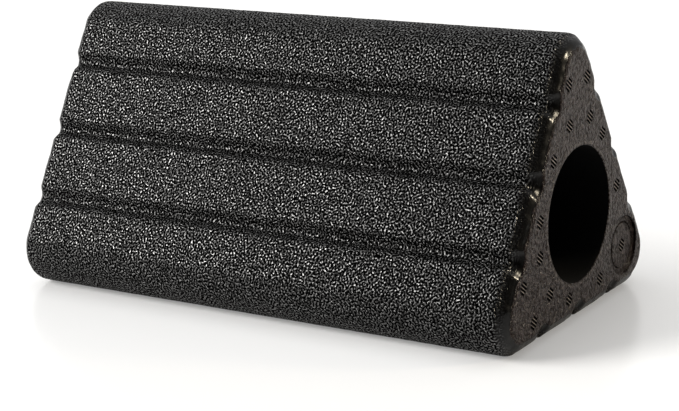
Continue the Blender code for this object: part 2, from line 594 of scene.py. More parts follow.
@dataclass
class BarSection:
    """The roller's section: three flat faces with grooves, joined by round corners."""

    height: float
    corner_radius: float = 20.0 * MM
    faces: int = 3
    grooves_per_face: int = 3
    outer_slat_flat: float = 22.0 * MM
    groove_depth: float = 3.1 * MM
    groove_floor_width: float = 0.7 * MM
    groove_floor_radius: float = 1.5 * MM
    groove_wall_slope: float = math.radians(39)
    shoulder_radius: float = 3.5 * MM
    shoulder_least_radius: float = 2.8 * MM
    step: float = 1.0 * MM
    axis_height: float = field(init=False)
    axis: np.ndarray = field(init=False)
    corner_reach: float = field(init=False)
    groove_pitch: float = field(init=False)

    def __post_init__(self) -> None:
        """Works out the sizes that follow from the others, as the solid's design does."""
        sharp_height = self.height + self.corner_radius
        self.axis_height = sharp_height / 3
        self.axis = np.array([0.0, self.axis_height])
        self.corner_reach = 2 * (self.axis_height - self.corner_radius)
        face_flat = 2 * sharp_height / math.sqrt(3) - 2 * self.corner_radius * math.sqrt(3)
        self.groove_pitch = (face_flat - 2 * self.outer_slat_flat) / max(self.grooves_per_face - 1, 1)

    def steps(self, length: float) -> int:
        """Returns how many steps a stretch of that length takes."""
        return max(round(length / self.step), 1)

    def groove_half(self, inset: float) -> np.ndarray:
        """Returns half a groove's section as (across, height), from its floor to its shoulder.

        The floor's arc grows by the inset, the wall moves square to itself, and the shoulder's arc
        shrinks to its least radius.

        Args:
            inset: How far the outline is moved in.

        Returns:
            Points of shape (n, 2).
        """
        slope = self.groove_wall_slope
        floor_half = self.groove_floor_width / 2
        wall_foot = floor_half + self.groove_floor_radius * math.sin(slope)
        wall_rise = self.groove_depth - self.groove_floor_radius * (1 - math.cos(slope))
        mouth = wall_foot + wall_rise / math.tan(slope) + inset * math.tan(slope / 2)
        centre = (floor_half, self.groove_floor_radius - self.groove_depth)
        floor_steps = self.steps(self.groove_floor_radius * slope) + 1
        floor = arc(centre, self.groove_floor_radius + inset, -QUARTER, slope - QUARTER, floor_steps)
        radius = max(self.shoulder_radius - inset, self.shoulder_least_radius)
        shoulder_centre = (mouth + radius * math.tan(slope / 2), -inset - radius)
        shoulder_steps = self.steps(self.shoulder_radius * slope) + 1
        shoulder = arc(shoulder_centre, radius, QUARTER + slope, QUARTER, shoulder_steps)
        return chain([(floor, 0), (shoulder, self.steps(wall_rise / math.sin(slope)))])

    def face_line(self, inset: float) -> np.ndarray:
        """Returns one face's line from corner to corner as (along, height), height 0 on the face.

        Args:
            inset: How far the outline is moved in.

        Returns:
            Points of shape (n, 2).
        """
        half = self.groove_half(inset)
        groove = np.concatenate([(half * np.array([-1.0, 1.0]))[::-1], half])
        middles = self.groove_pitch * (np.arange(self.grooves_per_face) - (self.grooves_per_face - 1) / 2)
        slat = self.steps(self.groove_pitch - 2 * self.groove_half(0.0)[-1, 0])
        return chain([(groove + np.array([middle, 0.0]), slat) for middle in middles])

    def outline(self, inset: float) -> np.ndarray:
        """Returns the section moved in by inset.

        Each face's line is followed by the arc of the corner after it, with straight steps between
        them, and is turned with its face about the bar's axis.

        Args:
            inset: How far the outline is moved in.

        Returns:
            Points of shape (n, 2), as (y, z), anticlockwise seen from +X.
        """
        line = self.face_line(inset)
        along_face = np.stack([line[:, 0], -self.axis_height - line[:, 1]], 1)
        turn = 2 * math.pi / self.faces
        way = turn / 2 - QUARTER
        centre = (self.corner_reach * math.cos(way), self.corner_reach * math.sin(way))
        corner_steps = self.steps(self.corner_radius * turn)
        corner = arc(centre, self.corner_radius - inset, -QUARTER, turn - QUARTER, corner_steps)
        flat = self.steps(self.outer_slat_flat - self.groove_half(0.0)[-1, 0])
        third = chain([(along_face, 0), (corner, flat)])
        line = chain([(turned(third, turn * face), flat) for face in range(self.faces)])
        closing = line[-1] + (line[0] - line[-1]) * np.linspace(0.0, 1.0, flat + 1)[1:-1, None]
        return np.concatenate([line, closing]) + self.axis

    def depth_share(self) -> np.ndarray:
        """Measures how deep each point of the outline lies in a groove, below the face it is on.

        Returns:
            A share for each point, from 0 on a slat to 1 on a groove's floor.
        """
        points = self.outline(0.0) - self.axis
        angles = 2 * math.pi * np.arange(self.faces) / self.faces - QUARTER
        outward = np.stack([np.cos(angles), np.sin(angles)], 1)
        across = points @ np.stack([-outward[:, 1], outward[:, 0]], 0)
        heights = points @ outward.T
        own = heights.argmax(axis=1)
        picks = np.arange(len(points)), own
        on_face = np.abs(across[picks]) < self.groove_pitch * self.grooves_per_face / 2
        return np.clip((self.axis_height - heights[picks]) / self.groove_depth, 0.0, 1.0) * on_face


@dataclass
class FoamPatterns:
    """Outputs that the foam's relief, colour and gloss share: its point values and its patterns.

    Each pattern goes from 0 to 1.
    """

    at: dict[FoamValue, Socket]
    in_mm: Socket
    top: Socket
    wrinkle: Socket
    patch: Socket
    pit: Socket
    painted_shade: Socket
    band: Socket


@dataclass(frozen=True)
class BeadFoamFinish:
    """Black expanded polypropylene bead foam, steam moulded in a cavity with an etched grain.

    The grain's tops catch the light, and its creases are painted near black as shade. Where the
    end plates shaped the foam, its skin is smooth and brownish, with fine wrinkles, mottling and a
    few open pits. Its vent prints and a ring round the bore are painted lighter as highlight, and
    the port and rounded edges carry painted shade. The rounded ends carry a glossy black band
    where the cavity's polished edge touched them.
    """

    name: str = "epp_foam_steam_moulded"
    ior: float = 1.49

    # The grain: colours, mean cell and ridge width, the noise at which its tops begin, on a slat
    # and half way down a groove's wall, where depth times height peaks, and end, relief and gloss
    top_colour: str = "1b1a19"
    # The creases are painted near black as shade, wider and so darker on a groove's walls
    crease_shade_colour: str = "020202"
    cell_mm: float = 2.1
    ridge_mm: float = 1.72
    grain_low: float = 0.44
    wall_low: float = 0.47
    wall_peak: float = 0.25
    grain_high: float = 0.70
    grain_height_mm: float = 0.3
    grain_rough: tuple[float, float] = (0.6, 0.3)
    glint_mm: float = 1.3
    glint_range: tuple[float, float] = (0.44, 2.20)
    groove_glint: float = 1.1

    # Fine ripples under the grain, and what is left of them on the end skin and the band
    ripple_mm: float = 0.7
    ripple_detail: float = 1.0
    ripple_heights_mm: tuple[float, float] = (0.05, 0.015)

    # The end skin: wrinkles, mottled patches, pits, prints painted lighter as highlight, and painted shade
    # that the mottling breaks up
    skin_colour: str = "33211c"
    seam_colour: str = "1a100c"
    # Open pits and painted shade share this colour
    pit_and_shade_colour: str = "010101"
    # Vent prints and the ring round the bore are painted this lighter colour as highlight
    print_highlight_colour: str = "948a80"
    wrinkle_mm: float = 2.0
    wrinkle_height_mm: float = 0.7
    wrinkle_detail: float = 2.0
    wrinkle_roughness: float = 0.62
    wrinkle_distortion: float = 0.6
    wrinkle_range: tuple[float, float] = (0.32, 0.70)
    mottle_mm: float = 6.0
    mottle_detail: float = 3.0
    mottle_roughness: float = 0.7
    patch_range: tuple[float, float] = (0.3, 0.7)
    patch_low: float = 0.55
    pit_mm: float = 9.0
    pit_edge: tuple[float, float] = (0.075, 0.045)
    painted_shade_range: tuple[float, float] = (0.38, 0.52)
    painted_shade_low: float = 0.35
    skin_shine: tuple[float, float] = (0.04, 0.44)

    # The band: its edge by the share of the quarter turn, how far the lip wanders, and its gloss
    # outside and inside the grooves. Roughness is that of the skin and that of the band.
    band_colour: str = "0a0908"
    band_edge: tuple[float, float] = (0.90, 0.80)
    lip_wander: float = 0.14
    band_shine: tuple[float, float] = (0.27, 0.06)
    band_shine_depths: tuple[float, float] = (0.35, 1.0)
    skin_rough: tuple[float, float] = (0.30, 0.18)

    def patterns(self, add: AddNode) -> FoamPatterns:
        """Adds the patterns of the grain, the end skin and the band.

        Args:
            add: Adds a node to the material.

        Returns:
            Their outputs.
        """
        at = {value: add("Attribute", output="Fac", attribute_name=value.value) for value in FoamValue}
        place = add("TexCoord", output="Object")
        in_mm = add("Mapping", {"Vector": place, "Scale": PER_MM})

        # The mould's etched grain: short ridges of even width, all ways, on the unrolled surface,
        # with wider creases half way down a groove's walls
        unrolled = add("CombineXYZ", {"X": at[FoamValue.RUN], "Y": at[FoamValue.ROUND]})
        unrolled = add("Mapping", {"Vector": unrolled, "Scale": PER_MM})
        ridges = {"Scale": 1 / self.cell_mm, "Frequency": self.cell_mm / self.ridge_mm, "Anisotropy": 0.0}
        etching = add("TexGabor", {"Vector": unrolled, **ridges}, gabor_type="2D")
        above = add("Math", {0: 1.0, 1: at[FoamValue.GROOVE]}, operation="SUBTRACT")
        wall = add("Math", {0: above, 1: at[FoamValue.GROOVE]}, operation="MULTIPLY")
        lows = {"From Max": self.wall_peak, "To Min": self.grain_low, "To Max": self.wall_low}
        low = add("MapRange", {"Value": wall, **lows})
        top = add("MapRange", {"Value": etching, "From Min": low, "From Max": self.grain_high}, **SMOOTH)

        # The end skin: fine wrinkles, mottling, and pits that run straight in from the face
        wrinkle = add("TexNoise", {
            "Vector": in_mm, "Scale": 1 / self.wrinkle_mm, "Detail": self.wrinkle_detail,
            "Roughness": self.wrinkle_roughness, "Distortion": self.wrinkle_distortion,
        })
        wrinkle = add("MapRange", {"Value": wrinkle, **ends("From", self.wrinkle_range)}, **SMOOTH)
        clouds = {"Detail": self.mottle_detail, "Roughness": self.mottle_roughness}
        mottle = add("TexNoise", {"Vector": in_mm, "Scale": 1 / self.mottle_mm, **clouds})
        patch = add("MapRange", {"Value": mottle, **ends("From", self.patch_range), "To Min": self.patch_low})
        patch = add("Math", {0: patch, 1: wrinkle}, operation="MULTIPLY")
        # Painted shade: the shade values of the port and the rounded edges, broken up by the mottling
        painted_shade = add("MapRange", {"Value": mottle, **ends("From", self.painted_shade_range), "To Min": self.painted_shade_low})
        painted_shade = add("Math", {0: painted_shade, 1: at[FoamValue.SHADE]}, operation="MULTIPLY")
        across = add("Mapping", {"Vector": place, "Scale": (0.0, *PER_MM[1:])})
        pit = add("TexVoronoi", {"Vector": across, "Scale": 1 / self.pit_mm})
        pit = add("MapRange", {"Value": pit, **ends("From", self.pit_edge)}, **SMOOTH)

        # The polished band of the rounded end, up to the wavy lip where the end plate begins
        lip = add("MapRange", {"Value": mottle, **ends("To", (-self.lip_wander, self.lip_wander))})
        lip = add("Math", {0: at[FoamValue.TURN], 1: lip}, operation="ADD")
        band = add("MapRange", {"Value": lip, **ends("From", self.band_edge)}, **SMOOTH)
        return FoamPatterns(at, in_mm, top, wrinkle, patch, pit, painted_shade, band)

    def relief(self, add: AddNode, on: FoamPatterns) -> Socket:
        """Adds the relief, where the grain's tops give way to the skin's wrinkles.

        Args:
            add: Adds a node to the material.
            on: The patterns.

        Returns:
            The bumped normal, from heights in millimetres.
        """
        skin = on.at[FoamValue.SKIN]
        grain = add("Math", {0: on.top, 1: self.grain_height_mm}, operation="MULTIPLY")
        off_band = add("Math", {0: 1.0, 1: on.band}, operation="SUBTRACT")
        wrinkle = add("Math", {0: on.wrinkle, 1: self.wrinkle_height_mm}, operation="MULTIPLY")
        wrinkle = add("Math", {0: wrinkle, 1: off_band}, operation="MULTIPLY")
        height = add("Mix", {"Factor": skin, "A": grain, "B": wrinkle})
        fine = {"Scale": 1 / self.ripple_mm, "Detail": self.ripple_detail}
        ripple = add("TexNoise", {"Vector": on.in_mm, **fine})
        ripple_height = add("MapRange", {"Value": skin, **ends("To", self.ripple_heights_mm)})
        height = add("Math", {0: ripple, 1: ripple_height, 2: height}, operation="MULTIPLY_ADD")
        return add("Bump", {"Height": height, "Distance": MM})

    def colour(self, add: AddNode, on: FoamPatterns) -> Socket:
        """Adds the colour: creases painted black as shade and lighter tops on the grain, a warm and mottled
        skin.

        Args:
            add: Adds a node to the material.
            on: The patterns.

        Returns:
            The colour.
        """
        tops = {"A": linear(self.crease_shade_colour), "B": linear(self.top_colour)}
        grain = add("Mix", {"Factor": on.top, **tops}, **COLOUR)
        patches = {"A": linear(self.seam_colour), "B": linear(self.skin_colour)}
        skin = add("Mix", {"Factor": on.patch, **patches}, **COLOUR)
        # Painted highlight on the prints and round the bore, painted shade, real pits, and the band
        layers = (
            (on.at[FoamValue.PRINT], self.print_highlight_colour),
            (on.painted_shade, self.pit_and_shade_colour),
            (on.pit, self.pit_and_shade_colour),
            (on.band, self.band_colour),
        )
        for share, layer in layers:
            skin = add("Mix", {"Factor": share, "A": skin, "B": linear(layer)}, **COLOUR)
        return add("Mix", {"Factor": on.at[FoamValue.SKIN], "A": grain, "B": skin}, **COLOUR)

    def roughness(self, add: AddNode, on: FoamPatterns) -> Socket:
        """Adds the roughness: dull creases and smoother tops, and a skin duller than the band.

        Args:
            add: Adds a node to the material.
            on: The patterns.

        Returns:
            The roughness.
        """
        grain = add("MapRange", {"Value": on.top, **ends("To", self.grain_rough)})
        skin = add("MapRange", {"Value": on.band, **ends("To", self.skin_rough)})
        return add("Mix", {"Factor": on.at[FoamValue.SKIN], "A": grain, "B": skin})

    def shine(self, add: AddNode, on: FoamPatterns) -> Socket:
        """Adds the strength of reflections: tops that glint unevenly, and a band of its own gloss.

        Args:
            add: Adds a node to the material.
            on: The patterns.

        Returns:
            The specular level.
        """
        depth = on.at[FoamValue.GROOVE]
        glint = add("TexVoronoi", {"Vector": on.in_mm, "Scale": 1 / self.glint_mm}, "Color")
        glint = add("SeparateColor", {"Color": glint}, "Red")
        glint = add("MapRange", {"Value": glint, **ends("To", self.glint_range)})
        grain = add("Math", {0: on.top, 1: glint}, operation="MULTIPLY")
        deeper = add("MapRange", {"Value": depth, **ends("To", (1.0, self.groove_glint))})
        grain = add("Math", {0: grain, 1: deeper}, operation="MULTIPLY")
        skin = add("MapRange", {"Value": on.patch, **ends("To", self.skin_shine)})
        fade = ends("From", self.band_shine_depths) | ends("To", self.band_shine)
        band = add("MapRange", {"Value": depth, **fade})
        skin = add("Mix", {"Factor": on.band, "A": skin, "B": band})
        # Reflections are dimmed where shade is painted
        lit = add("Math", {0: 1.0, 1: on.painted_shade}, operation="SUBTRACT")
        skin = add("Math", {0: skin, 1: lit}, operation="MULTIPLY")
        return add("Mix", {"Factor": on.at[FoamValue.SKIN], "A": grain, "B": skin})

    def build(self) -> bpy.types.Material:
        """Makes the material, which reads object coordinates and the foam's own point values.

        Returns:
            The material.
        """
        material, shader, add = new_material(self.name)
        on = self.patterns(add)
        fill(shader, {
            "Base Color": self.colour(add, on),
            "Roughness": self.roughness(add, on),
            "IOR": self.ior,
            "Specular IOR Level": self.shine(add, on),
            "Normal": self.relief(add, on),
        })
        return material


@dataclass(frozen=True)
class UnlitFoamFinish:
    """The same foam in the bore's wall and the vent slots, where shade is painted in.

    Its near black colour is painted shade, and it is dull, so it takes up nearly all the light. A
    faint pattern of beads is in its colour and its relief.
    """

    name: str
    colour: str = "060606"
    bead_edge_colour: str = "020202"
    roughness: float = 0.9
    shine: float = 0.12
    cell_mm: float = 2.6
    bead_height_mm: float = 0.1

    def build(self) -> bpy.types.Material:
        """Makes the material, which reads object coordinates.

        Returns:
            The material.
        """
        material, shader, add = new_material(self.name)
        in_mm = add("Mapping", {"Vector": add("TexCoord", output="Object"), "Scale": PER_MM})
        cells = add("TexVoronoi", {"Vector": in_mm, "Scale": 1 / self.cell_mm}, feature="SMOOTH_F1")
        beads = {"A": linear(self.colour), "B": linear(self.bead_edge_colour)}
        fill(shader, {
            "Base Color": add("Mix", {"Factor": cells, **beads}, **COLOUR),
            "Roughness": self.roughness,
            "Specular IOR Level": self.shine,
            "Normal": add("Bump", {"Height": cells, "Distance": -self.bead_height_mm * MM}),
        })
        return material


@dataclass
class FillingPort:
    """The stepped round port in one end face, and the seam round the plug that closes it, both with painted
    shade.
    """

    axis: np.ndarray
    plug_radius: float
    plug_length: float
    depth: float = 1.2 * MM
    ledge: float = 3.5 * MM
    clearance: float = 0.3 * MM
    edge: float = 0.6 * MM
    rim_round: float = 0.3 * MM
    rim_steps: int = 3
    ledge_steps: int = 4
    turn_steps: int = 120
    # Painted shade in the port: where it is strongest, as an angle and a half width in degrees, its least
    # share elsewhere, and its strength by depth
    painted_shade_places: tuple[tuple[float, float], ...] = ((10, 62), (118, 9), (168, 17))
    least_painted_shade: float = 0.15
    shade_by_depth: tuple[tuple[float, ...], tuple[float, ...]] = (
        (0.0, 0.3 * MM, 1.1 * MM, 1.2 * MM, 1.8 * MM), (0.7, 0.9, 0.9, 0.45, 1.0),
    )

    def painted_shade_share(self) -> np.ndarray:
        """Works out how strong the painted shade round the port is at each angle.

        It grows round each place, an angle and a half width in degrees, by exp(-(away / width)^2).

        Returns:
            A share for each point of a circle, from least_painted_shade up to 1.
        """
        angles = np.linspace(0.0, 360.0, self.turn_steps + 1)[:-1]
        places = np.array(self.painted_shade_places)
        away = (angles[:, None] - places[:, 0] + 180.0) % 360.0 - 180.0
        return self.least_painted_shade + (1 - self.least_painted_shade) * np.exp(-(away / places[:, 1]) ** 2).max(axis=1)

    def wall_radius(self) -> float:
        """Returns the radius of the port above its ledge."""
        return self.plug_radius + self.clearance + self.ledge

    def profile(self) -> np.ndarray:
        """Draws the port's wall: a quarter round, the wall, the ledge, a broken edge and the pocket.

        Returns:
            Points of shape (n, 2), as (depth, radius), from the end face to the pocket's floor.
        """
        wall, pocket = self.wall_radius(), self.plug_radius + self.clearance
        rim = arc((self.rim_round, -wall - self.rim_round), self.rim_round, math.pi, QUARTER, self.rim_steps)
        ledge_radii = np.linspace(wall - self.rim_round, pocket + self.edge, self.ledge_steps + 1)
        rows = [*(rim * np.array([1.0, -1.0])), (self.depth - self.rim_round, wall)]
        rows += [(self.depth, radius) for radius in ledge_radii]
        rows += [(self.depth + self.edge, pocket), (self.depth + self.plug_length + self.clearance, pocket)]
        return np.array(rows)

    def add_turned(
        self, draft: MeshDraft, profile: np.ndarray, face_x: float, shades: tuple[tuple[float, ...], ...],
    ) -> np.ndarray:
        """Adds a profile turned about the port's axis and closed by a fan at its last point.

        Args:
            draft: The piece's mesh.
            profile: Points of shape (n, 2), as (depth, radius).
            face_x: Where the depths start.
            shades: Depths, and the painted shade at each of them.

        Returns:
            Indices of the profile's first circle.
        """
        x = face_x - profile[:, 0, None, None]
        circles = self.axis + profile[:, 1, None, None] * unit_circle(self.turn_steps)
        shade = np.interp(profile[:, :1], *shades) * self.painted_shade_share()
        rows = draft.add(at_x(x, circles), **END_SKIN, shade=shade)
        draft.strip(rows)
        draft.fan(rows[-1], draft.add(at_x(x[-1, 0], self.axis[None]), **END_SKIN))
        return rows[0]


@dataclass
class FoamBody:
    """The roller's body: the grooved bar with its round ends, bore, vent prints and port."""

    section: BarSection
    port: FillingPort
    vent: VentPrint
    face_x: float

    # The rounded ends, and how far the skin reaches by the share of the quarter turn
    end_round: float = 8.5 * MM
    end_steps: int = 14
    skin_by_turn: tuple[tuple[float, ...], tuple[float, ...]] = (
        (0.17, 0.25, 0.33, 0.52, 0.62), (0.0, 0.38, 0.70, 0.82, 1.0),
    )

    # The bore, its rounded edge, and the lighter ring that was pressed round it
    bore_radius: float = 34.5 * MM
    bore_edge: float = 0.4 * MM
    bore_edge_steps: int = 3
    bore_edge_shade: float = 0.2
    bore_steps: int = 216
    bore_row: float = 3.0 * MM
    # The bore, its rounded edge, and a ring of painted highlight round it
    bore_rim_painted_highlight: float = 0.45
    bore_rim_highlight_fade: tuple[float, float] = (0.7 * MM, 2.1 * MM)

    # Unevenness: pitches, heights and seeds of the lumps on the bar and on the band of its ends,
    # the wander of the grooves, and the dents of the end faces
    lump_pitches: tuple[float, ...] = (5.5 * MM, 2.4 * MM)
    lump_heights: tuple[float, ...] = (0.16 * MM, 0.12 * MM)
    lump_seed: int = 20
    lump_power: float = 0.5
    band_pitches: tuple[float, ...] = (7.0 * MM, 3.4 * MM)
    band_heights: tuple[float, ...] = (0.40 * MM, 0.30 * MM)
    band_seed: int = 40
    band_sink: float = 0.25 * MM
    band_rise: tuple[float, float] = (0.18, 0.36)
    band_fall: tuple[float, float] = (0.80, 0.93)
    groove_wander: float = 0.35 * MM
    wander_pitch: float = 17.0 * MM
    wander_seed: int = 11
    face_dent: float = 0.10 * MM
    face_dent_pitch: float = 7.0 * MM
    face_dent_seed: int = 31
    face_dent_fade: float = 4.0 * MM
    face_dent_reach: float = 2.05 * MM

    # Each vent's angle round the bore and its share of the way out, in degrees and from 0 to 1
    vent_place_shares: tuple[tuple[float, float], ...] = (
        (6, 0.19), (53, 0.20), (75, 0.29), (82, 0.71), (99, 0.71), (102, 0.28), (130, 0.18), (171, 0.18),
        (194, 0.21), (199, 0.63), (219, 0.65), (224, 0.24), (253, 0.16), (300, 0.24),
        (316, 0.26), (322, 0.68), (338, 0.68), (344, 0.26),
    )

    def vent_places(self, face_x: float) -> np.ndarray:
        """Returns the centres of one end face's vent prints.

        The way out goes from the bore's broken edge to the reach of the flat's corners. Prints
        inside the port are left out.

        Args:
            face_x: The face's place, above 0 on the end with the port.

        Returns:
            Points of shape (n, 2), as (y, z).
        """
        degrees, shares = np.array(self.vent_place_shares).T
        start = self.bore_radius + self.bore_edge
        stop = self.section.corner_reach + self.section.corner_radius - self.end_round
        angles, reach = np.radians(degrees), start + shares * (stop - start)
        places = self.section.axis + np.stack([reach * np.cos(angles), reach * np.sin(angles)], 1)
        clear = self.port.wall_radius() + self.vent.diameter / 2
        return places[(np.linalg.norm(places - self.port.axis, axis=1) > clear) | (face_x < 0)]

    def add_bar(self, draft: MeshDraft) -> tuple[np.ndarray, np.ndarray]:
        """Adds the grooved faces and the round ends.

        The section is carried along X. Over the last stretch a quarter turn t moves it in by
        r(1 - cos t) and on by r sin t.

        Args:
            draft: The body's mesh.

        Returns:
            Indices of the outline on the -X face and on the +X face.
        """
        turns = np.linspace(0.0, QUARTER, self.end_steps + 1)
        insets = self.end_round * (1 - np.cos(turns))
        reaches = self.face_x - self.end_round * (1 - np.sin(turns))
        straight = np.linspace(-reaches[0], reaches[0], self.section.steps(2 * reaches[0]) + 1)[1:-1]
        x = np.concatenate([-reaches[::-1], straight, reaches])
        outlines = np.array([self.section.outline(inset) for inset in insets])
        middle = np.broadcast_to(outlines[0], (len(straight), *outlines[0].shape))
        rings = np.concatenate([outlines[::-1], middle, outlines])
        share = np.concatenate([turns[::-1], np.zeros(len(straight)), turns])[:, None] / QUARTER
        depth = self.section.depth_share()
        along = reaches[0] + turns * self.end_round
        steps = np.linalg.norm(np.diff(outlines[0], axis=0), axis=1)
        rows = draft.add(
            self.wander(at_x(x[:, None, None], rings), depth * (1 - share)),
            skin=np.interp(share, *self.skin_by_turn),
            turn=share,
            groove=depth,
            lump=(1 - share) ** self.lump_power,
            band=smooth_share(share, *self.band_rise) * (1 - smooth_share(share, *self.band_fall)),
            run=np.concatenate([-along[::-1], straight, along])[:, None],
            round=np.concatenate([[0.0], np.cumsum(steps)]),
        )
        draft.strip(rows)
        return rows[0], rows[-1]

    def wander(self, points: np.ndarray, weight: np.ndarray) -> np.ndarray:
        """Lets the grooves run less than straight, as the foam leaves them.

        Each point moves along the outline by smooth noise times its weight.

        Args:
            points: The bar's rings, of shape (rings, points, 3).
            weight: How much each point moves, from 0 to 1.

        Returns:
            The moved points.
        """
        noise = SpaceNoise(self.wander_pitch, self.wander_seed).at(points.reshape(-1, 3))
        along = np.roll(points, -1, axis=1) - np.roll(points, 1, axis=1)
        along /= np.linalg.norm(along, axis=2, keepdims=True)
        return points + along * (noise.reshape(weight.shape) * weight * self.groove_wander)[..., None]

    def add_bore(self, draft: MeshDraft) -> tuple[np.ndarray, np.ndarray]:
        """Adds the bore: a circle carried along X, opened out at both ends by a quarter round.

        The rounded edge carries painted shade, a little at the face and fully where the wall begins.

        Args:
            draft: The body's mesh.

        Returns:
            Indices of its rims on the -X face and on the +X face.
        """
        turns = np.linspace(QUARTER, 0.0, self.bore_edge_steps + 1)
        radii = self.bore_radius + self.bore_edge * (1 - np.cos(turns))
        x_end = self.face_x - self.bore_edge * (1 - np.sin(turns))
        rows = max(round(2 * x_end[-1] / self.bore_row), 2)
        x = np.concatenate([x_end, np.linspace(x_end[-1], -x_end[-1], rows + 1)[1:-1], -x_end[::-1]])
        radius = np.concatenate([radii, np.full(rows - 1, self.bore_radius), radii[::-1]])
        circles = self.section.axis + radius[:, None, None] * unit_circle(self.bore_steps)
        shade = np.interp(self.face_x - np.abs(x), (0.0, self.bore_edge), (self.bore_edge_shade, 1.0))
        indices = draft.add(at_x(x[:, None, None], circles), **END_SKIN, shade=shade[:, None])
        first, last = len(x_end) - 1, len(x) - len(x_end)
        draft.strip(indices[:first + 1])
        draft.strip(indices[first:last + 1], FoamSlot.BORE_WALL)
        draft.strip(indices[last:])
        return indices[-1], indices[0]

    def add_end(self, draft: MeshDraft, face_x: float, loops: list[np.ndarray]) -> None:
        """Adds one end face with its vent prints, and the port on the +X end.

        Args:
            draft: The body's mesh.
            face_x: The face's place.
            loops: Indices of the outline that it fills, and of the bore's rim.
        """
        places = self.vent_places(face_x)
        if face_x > 0:
            port = self.port.add_turned(draft, self.port.profile(), face_x, self.port.shade_by_depth)
            loops = [*loops, port]

        def light(flat: np.ndarray) -> np.ndarray:
            """Works out the painted highlight: on the prints' bars and in a ring round the bore.

            Args:
                flat: Points on the face, of shape (..., 2).

            Returns:
                A share for each point.
            """
            from_bore = np.linalg.norm(flat - self.section.axis, axis=-1) - self.bore_radius
            painted_rim_highlight = self.bore_rim_painted_highlight * (1 - smooth_share(from_bore, *self.bore_rim_highlight_fade))
            return np.maximum(self.vent.painted_highlight_share(flat, places), painted_rim_highlight)

        PiercedFace(self.vent, places, face_x).fill(draft, loops, light)

    def shape_foam(self, mesh: bpy.types.Mesh) -> None:
        """Gives the foam its unevenness.

        Bar points sink along their normals by layered noise, never rising above the section. End
        face points sink along X by noise that fades out towards the outline and the bore.

        Args:
            mesh: The body's mesh.
        """
        count = len(mesh.vertices)
        points, normals = np.empty(count * 3), np.empty(count * 3)
        mesh.vertices.foreach_get("co", points)
        mesh.vertex_normals.foreach_get("vector", normals)
        points, normals = points.reshape(-1, 3), normals.reshape(-1, 3)
        lump, band = np.empty(count, np.float32), np.empty(count, np.float32)
        mesh.attributes[SinkValue.LUMP.value].data.foreach_get("value", lump)
        mesh.attributes[SinkValue.BAND.value].data.foreach_get("value", band)
        sink = np.zeros(count)
        for share, seed, pitches, heights in (
            (lump, self.lump_seed, self.lump_pitches, self.lump_heights),
            (band, self.band_seed, self.band_pitches, self.band_heights),
        ):
            for number, (pitch, height) in enumerate(zip(pitches, heights)):
                sink += height * share * SpaceNoise(pitch, seed + number).dent(points)
        sink += self.band_sink * band
        moved = points - normals * sink[:, None]
        on_end = (np.abs(points[:, 0]) > self.face_x - self.face_dent_reach) & (lump == 0)
        flat = points[on_end][:, 1:]
        from_edge = gaps_to(flat, self.section.outline(self.end_round))
        from_bore = np.linalg.norm(flat - self.section.axis, axis=1) - self.bore_radius - self.bore_edge
        fade = smooth_share(from_edge, 0.0, self.face_dent_fade)
        fade *= smooth_share(from_bore, 0.0, self.face_dent_fade)
        dent = SpaceNoise(self.face_dent_pitch, self.face_dent_seed).dent(points[on_end])
        moved[on_end, 0] -= np.sign(points[on_end, 0]) * self.face_dent * dent * fade
        mesh.vertices.foreach_set("co", moved.ravel())
        mesh.update()

    def build(self, finishes: list[bpy.types.Material]) -> bpy.types.Object:
        """Makes the body and hangs it on the frame.

        Args:
            finishes: Its materials, in the order of FoamSlot.

        Returns:
            The new object.
        """
        draft = MeshDraft(*FoamValue, *SinkValue)
        left, right = self.add_bar(draft)
        bore_left, bore_right = self.add_bore(draft)
        self.add_end(draft, self.face_x, [right, bore_right])
        self.add_end(draft, -self.face_x, [left, bore_left])
        mesh = draft.mesh("foam_body_skin")
        self.shape_foam(mesh)
        return hang(mesh, finishes, "foam_body")


@dataclass
class FillPlug:
    """The plug in the port: a turned disc with broken edges and a vent print in its face."""

    port: FillingPort
    vent: VentPrint
    face_x: float
    edge_steps: int = 3
    # Painted shade on the plug's rounded edge: this much at the face, full where the edge ends
    edge_shade: float = 0.35

    def build(self, finishes: list[bpy.types.Material]) -> bpy.types.Object:
        """Makes the plug and hangs it on the frame.

        Its side is the profile of two quarter rounds and a wall, turned about the port's axis.

        Args:
            finishes: Its materials, in the order of FoamSlot.

        Returns:
            The new object.
        """
        draft = MeshDraft(*FoamValue)
        face_x, edge, places = self.face_x - self.port.depth, self.port.edge, self.port.axis[None]
        round_out = arc((edge, self.port.plug_radius - edge), edge, math.pi, QUARTER, self.edge_steps)
        round_in = round_out[::-1] * np.array([-1.0, 1.0]) + np.array([self.port.plug_length, 0.0])
        profile = np.concatenate([round_out, round_in])
        rim = self.port.add_turned(draft, profile, face_x, ((0.0, edge), (self.edge_shade, 1.0)))
        light = partial(self.vent.painted_highlight_share, places=places)
        PiercedFace(self.vent, places, face_x).fill(draft, [rim], light)
        return hang(draft.mesh("fill_plug_skin"), finishes, "fill_plug")


